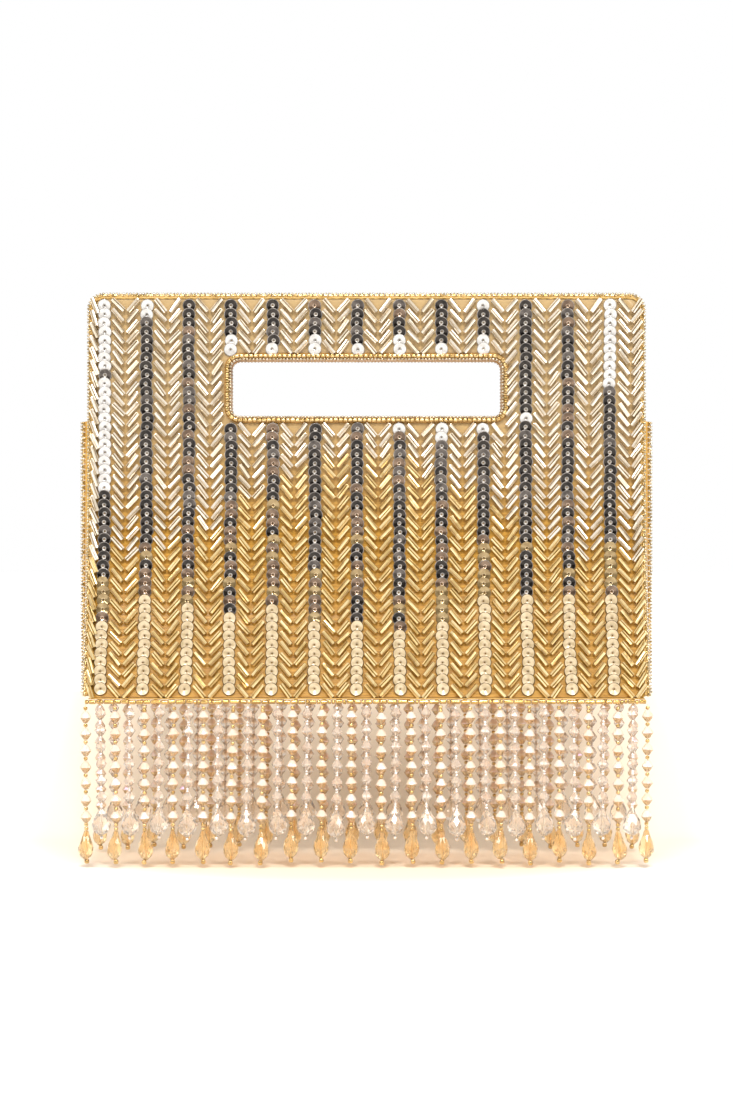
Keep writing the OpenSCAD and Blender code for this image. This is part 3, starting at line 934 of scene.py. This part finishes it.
def build_hem(hand, sign):
    """Strip that stands on the base inside the gusset's foot."""
    x, foot = sign * (HALF_W - HEM_IN), base_hi.z + 0.1 * MM
    ys = np.linspace(-1, 1, 24) * (float(half_gap(foot + HEM_H)) - 0.7 * MM)
    rows = np.array([[(x, sign * y, z) for y in ys] for z in (foot + HEM_H, foot)])
    hem = grid_sheet(f"{hand}_gusset_hem", rows, HEM_T, SATIN)
    finish_piece(hem, ROOT, "satin", f"{hand}_gusset")


def build_gusset(hand, sign):
    """Side cloth whose front half stretches as the bag opens, its hem, and the beads down its crease."""
    rows = gusset_rows()
    rows = rows * (sign, 1, 1)
    cloth = grid_sheet(f"{hand}_gusset_cloth", rows if sign < 0 else rows[:, ::-1], CLOTH_T, SATIN)
    finish_piece(cloth, None, "satin", f"{hand}_gusset")
    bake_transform(cloth)

    build_hem(hand, sign)

    rng = random.Random(f"gusset beads {hand}")
    crease = HALF_W + GUSSET_BULGE
    beads = Soup()
    for out, bead, spacing in ((0.8 * MM, EDGE_BEAD, 2.3 * MM), (1.75 * MM, PICOT_SEED, PICOT_PITCH)):
        line = [(sign * (crease + out), 0, GUSSET_FOOT), (sign * (crease + out), 0, GUSSET_TOP)]
        bead_line(beads, bead, line, spacing, rng)
    finish_piece(beads.build(f"{hand}_gusset_bead_line"), ROOT, "gold_beads", f"{hand}_gusset_beads")


# ---- Fringe ----
def faceted(rings, facets):
    """A cut bead from rings of (radius, height, turn in facets, material below it), from the top down."""
    angles = 2 * math.pi / facets
    points = [(r * math.cos((i + turn) * angles), r * math.sin((i + turn) * angles), z)
              for r, z, turn, _ in rings for i in range(facets)]
    faces = {}
    for k, (_, _, turn, material) in enumerate(rings):
        after = (k + 1) % len(rings)
        upper, lower = k * facets, after * facets
        for i in range(facets):
            j = (i + 1) % facets
            if rings[after][2] >= turn:
                corners = [(upper + i, lower + i, upper + j), (upper + j, lower + i, lower + j)]
            else:
                corners = [(upper + i, lower + i, lower + j), (upper + i, lower + j, upper + j)]
            faces.setdefault(material, []).extend(corners)
    return np.array(points), [(np.array(c), m) for m, c in faces.items()]


def bicone(upper, lower):
    """A cut bicone: two cones of kites, each cone with its own material; the upper cone's paler, less clear
    one is painted highlight.
    """
    r = BICONE_R
    return faceted([
        (BORE_R, r, 0, upper), (0.36 * r, r, 0, upper), (0.74 * r, 0.5 * r, 0.5, upper),
        (r, 0.07 * r, 0, upper), (r, -0.07 * r, 0, lower), (0.74 * r, -0.5 * r, 0.5, lower),
        (0.36 * r, -r, 0, lower), (BORE_R, -r, 0, upper),
    ], 8)


def drop(radius, length, upper, lower):
    """A cut teardrop that hangs down from height 0."""
    return faceted([
        (BORE_R, 0, 0, upper), (0.9 * MM, 0, 0, upper), (0.5 * radius, -0.2 * length, 0.5, upper),
        (0.84 * radius, -0.42 * length, 0, upper), (radius, -0.6 * length, 0.5, lower),
        (0.97 * radius, -0.74 * length, 0, lower), (0.72 * radius, -0.89 * length, 0.5, lower),
        (0.8 * MM, -length, 0, lower), (BORE_R, -length, 0, upper),
    ], 9)


def strand_beads(plan, seed_l, rise):
    """Names and heights of one strand's beads; a drop's height is its top and the others' their middle."""
    lead, count, gap, _, length = plan
    lead = lead - rise
    placed = []

    def fill(top, low):
        seeds = max(1, int((top - low) / seed_l))
        placed.extend(("seed", top - (top - low) * (i + 0.5) / seeds) for i in range(seeds))

    top = STRAND_TOP - lead
    fill(STRAND_TOP, top)
    for i in range(count):
        placed.append(("bicone", top - BICONE_R))
        low = top - 2 * BICONE_R
        top = top - BICONE_PITCH if i < count - 1 else low - gap
        fill(low, top)
    return placed + [("drop", top), ("stop", top - length - 0.95 * MM)]


def hang_strand(soup, x, plan, beads, seed_l, rng):
    """One strand: its beads on a thread that sways a little, each bead turned its own way."""
    sway_x = 0.9 * MM * math.sin(x / 0.03) + rng.gauss(0, 0.3 * MM)
    sway_y, wave = rng.gauss(0, 0.8 * MM), rng.uniform(0, 6.28)
    placed = strand_beads(plan, seed_l, rng.uniform(-0.1 * MM, 1.3 * MM))
    foot = placed[-1][1] - 0.9 * MM

    def thread_at(z):
        t = (HEADER_Z - z) / (HEADER_Z - foot)
        return (x + sway_x * t + 0.2 * MM * t * math.sin(5 * t + wave), -HEADER_Y + sway_y * t, z)

    for name, bead in beads.items():
        heights = [z for kind, z in placed if kind == name]
        axes = [(rng.gauss(0, 0.04), rng.gauss(0, 0.04), 1.0) for _ in heights]
        hints = [(math.cos(turn), math.sin(turn), 0) for turn in (rng.uniform(0, 6.28) for _ in heights)]
        soup.copies(bead, [thread_at(z) for z in heights], around(axes, hints))
    cord_sweep(soup, [thread_at(z) for z in np.linspace(HEADER_Z, foot, 24)],
               lambda points, tangents: np.broadcast_to((1.0, 0.0, 0.0), points.shape),
               THREAD_R, THREAD_R, 1 * MM, THREAD, sides=6, spacing=2 * MM)


def build_fringe(side, rng):
    """Sections of strands, each section swinging on its own: even strands amber, odd ones clear."""
    for section in range(1, SECTIONS + 1):
        first, last = ((section + i) * STRANDS // SECTIONS for i in (-1, 0))
        for kind, parity, plan, beads, seed_l in (
            ("amber", 0, AMBER, AMBER_BEADS, 1.35 * MM), ("clear", 1, CLEAR, CLEAR_BEADS, 1.0 * MM),
        ):
            soup = Soup()
            for i in range(first, last):
                if i % 2 == parity:
                    hang_strand(soup, STRAND_PITCH * (i - (STRANDS - 1) / 2), plan, beads, seed_l, rng)
            name = f"fringe_{section}"
            finish_soup(soup, side, f"{name}_{kind}_strands", f"{side}_{name}", f"{kind}_crystal",
                        f"{name}_{kind}", flat=CUT_GLASS)


def build_header(side, rng):
    """A row of short bugles and seeds along the bottom edge, which the strands hang from."""
    lengths = {"long": 4.3 * MM, "short": 3.1 * MM, "seed": 1.6 * MM}
    places = {name: [] for name in lengths}
    x = header_lo.x
    while x < header_hi.x - lengths["seed"]:
        name = rng.choice(["long", "short", "short", "seed"])
        if x + lengths[name] > header_hi.x:
            name = "seed"
        places[name].append((x + lengths[name] / 2, -HEADER_Y, HEADER_Z + rng.gauss(0, 0.08 * MM)))
        x += lengths[name]
    soup = Soup()
    for name, points in places.items():
        bead = tube_bead(0.92 * MM, lengths[name] - 0.15 * MM, 0.3 * MM, 12, BEADS["header_bead"], 0.25)
        axes = [(1, rng.gauss(0, 0.03), rng.gauss(0, 0.03)) for _ in points]
        soup.copies(bead, points, around(axes, (0, -1, 0)))
    finish_soup(soup, side, "header_bead_row", ROOT, "gold_beads", "header_beads")


# ---- The whole bag ----
EDGE_BEAD = tube_bead(0.68 * MM, 2.1 * MM, 0.3 * MM, 10, BEADS["gold_bead"], 0.3)
RING_BEAD = tube_bead(0.85 * MM, 1.9 * MM, 0.35 * MM, 10, BEADS["gold_bead"], 0.3)
PICOT_SEED = seed_bead(0.55 * MM, 0.95 * MM, 0.2 * MM, 8, BEADS["picot_bead"])
AMBER_BEADS = {
    "bicone": bicone(AMBER_COAT_AND_HIGHLIGHT, AMBER_GLASS),
    "seed": seed_bead(0.92 * MM, 1.35 * MM, 0.3 * MM, 10, BEADS["gold_bead"]),
    "stop": seed_bead(1.1 * MM, 1.9 * MM, 0.3 * MM, 10, BEADS["gold_bead"]),
    "drop": drop(AMBER[3], AMBER[4], AMBER_GLASS, AMBER_GLASS),
}
CLEAR_BEADS = {
    "bicone": bicone(CLEAR_PAINTED_HIGHLIGHT, CLEAR_GLASS),
    "seed": seed_bead(0.75 * MM, 1.0 * MM, 0.25 * MM, 10, BEADS["silver_seed"]),
    "stop": seed_bead(0.8 * MM, 1.3 * MM, 0.25 * MM, 10, BEADS["silver_seed"]),
    "drop": drop(CLEAR[3], CLEAR[4], CLEAR_GLASS, CLEAR_GLASS),
}
CUT_GLASS = (AMBER_GLASS, AMBER_COAT_AND_HIGHLIGHT, CLEAR_GLASS, CLEAR_PAINTED_HIGHLIGHT)

for side in SIDES:
    rng = random.Random(f"embroidery {side}")
    build_cloths(side)
    build_facing(side)
    build_trims(side, rng)
    build_sequins(side, rng)
    build_bugles(side, rng)
    build_tape(side)
    build_header(side, rng)
    build_fringe(side, rng)
build_base()
build_gusset("left", -1)
build_gusset("right", 1)

CAD_MATERIALS = {
    "front_board": CARD, "back_board": CARD, "base_board": CARD,
    "snap_stud": SNAP_GOLD, "snap_socket": SNAP_GOLD, "snap_magnet": MAGNET,
    "snap_stud_washer": WASHER_STEEL, "snap_socket_washer": WASHER_STEEL,
}
for node, material in CAD_MATERIALS.items():
    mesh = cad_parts[node].data
    mesh.materials.clear()
    mesh.materials.append(material)


# ---- Stage and light ----
FLOOR_REACH = 6.0
FLOOR_Z = CAD_BOX[0].z - 0.4 * MM
RISE_FROM, RISE_RUN, RISE_H = 65 * MM, 100 * MM, 62 * MM
# The floor's warm circle, a painted tint for the bag's shadow, lies round this point behind the bag and fades
# to white between these radii.
SHADOW_TINT_Y, SHADOW_TINT_R, WHITE_R = 0.10, 0.145, 0.19
AIM = (0, 0, -0.08)
KEY_PLACE = (0.02, -1.0, 1.0)
BOX_PLACE = (0.78, -0.75, 0.55)


def floor_paper():
    """Matt paper: a warm circle close behind the bag, painted tint for the bag's shadow, and white further
    out.
    """
    material = shader("floor_paper", roughness=0.9)
    place = object_place(material, scale=(1, 1, 0))
    place.inputs["Location"].default_value = (0, -SHADOW_TINT_Y, 0)
    far = add_node(material, "ShaderNodeVectorMath", operation="LENGTH")
    link(material, place, "Vector", far, "Vector")
    ramp = two_tone(material, far, "Value", (1.0, 0.83, 0.645), (1.0, 0.995, 0.99), (SHADOW_TINT_R, WHITE_R))
    ramp.color_ramp.interpolation = "EASE"
    return material


def build_stage():
    """A plain pale sweep of paper: level under the bag, and a low rise behind it."""
    slope = [(RISE_FROM + RISE_RUN * t, FLOOR_Z + RISE_H * t * t * (3 - 2 * t))
             for t in np.linspace(0, 1, 16)]
    profile = [(-FLOOR_REACH, FLOOR_Z), *slope, (FLOOR_REACH, FLOOR_Z + RISE_H)]
    points = [(x, y, z) for y, z in profile for x in (-FLOOR_REACH, FLOOR_REACH)]
    quads = [(k, k + 1, k + 3, k + 2) for k in range(0, len(points) - 2, 2)]
    floor = Soup()
    floor.add(points, [(quads, floor_paper())])
    floor.build("floor")


def lamp(name, kind, energy, place, **values):
    """A white light aimed at the middle of the bag."""
    data = bpy.data.lights.new(name, kind)
    data.energy = energy
    for key, value in values.items():
        setattr(data, key, value)
    thing = bpy.data.objects.new(name, data)
    thing.location = place
    thing.rotation_euler = (Vector(AIM) - Vector(place)).to_track_quat("-Z", "Y").to_euler()
    bpy.context.scene.collection.objects.link(thing)


def build_world():
    """White to the camera; to everything else bright above and behind, and dimmer on the camera's side."""
    world = bpy.data.worlds.new("studio")
    bpy.context.scene.world = world
    world.use_nodes = True
    place = add_node(world, "ShaderNodeTexCoord")
    towards = add_node(world, "ShaderNodeVectorMath", operation="DOT_PRODUCT")
    towards.inputs[1].default_value = (0, 0.6, 0.8)
    link(world, place, "Generated", towards, 0)
    ramp = add_ramp(world, towards, "Value", (0.16, 0.15, 0.14), (0.80, 0.79, 0.77), (0, 0.6))
    around_bag = world.node_tree.nodes["Background"]
    link(world, ramp, "Color", around_bag, "Color")
    backdrop = add_node(world, "ShaderNodeBackground", color=(1, 1, 1, 1))
    choose = add_node(world, "ShaderNodeMixShader")
    link(world, add_node(world, "ShaderNodeLightPath"), "Is Camera Ray", choose, "Fac")
    link(world, around_bag, "Background", choose, 1)
    link(world, backdrop, "Background", choose, 2)
    link(world, choose, "Shader", world.node_tree.nodes["World Output"], "Surface")


build_stage()
build_world()
lamp("key", "SUN", 2.5, KEY_PLACE, angle=math.radians(16))
for hand, sign in (("left", -1), ("right", 1)):
    lamp(f"{hand}_box", "AREA", 4.2, (sign * BOX_PLACE[0], *BOX_PLACE[1:]), shape="SQUARE", size=0.36)
bpy.context.scene.view_settings.view_transform = "Standard"
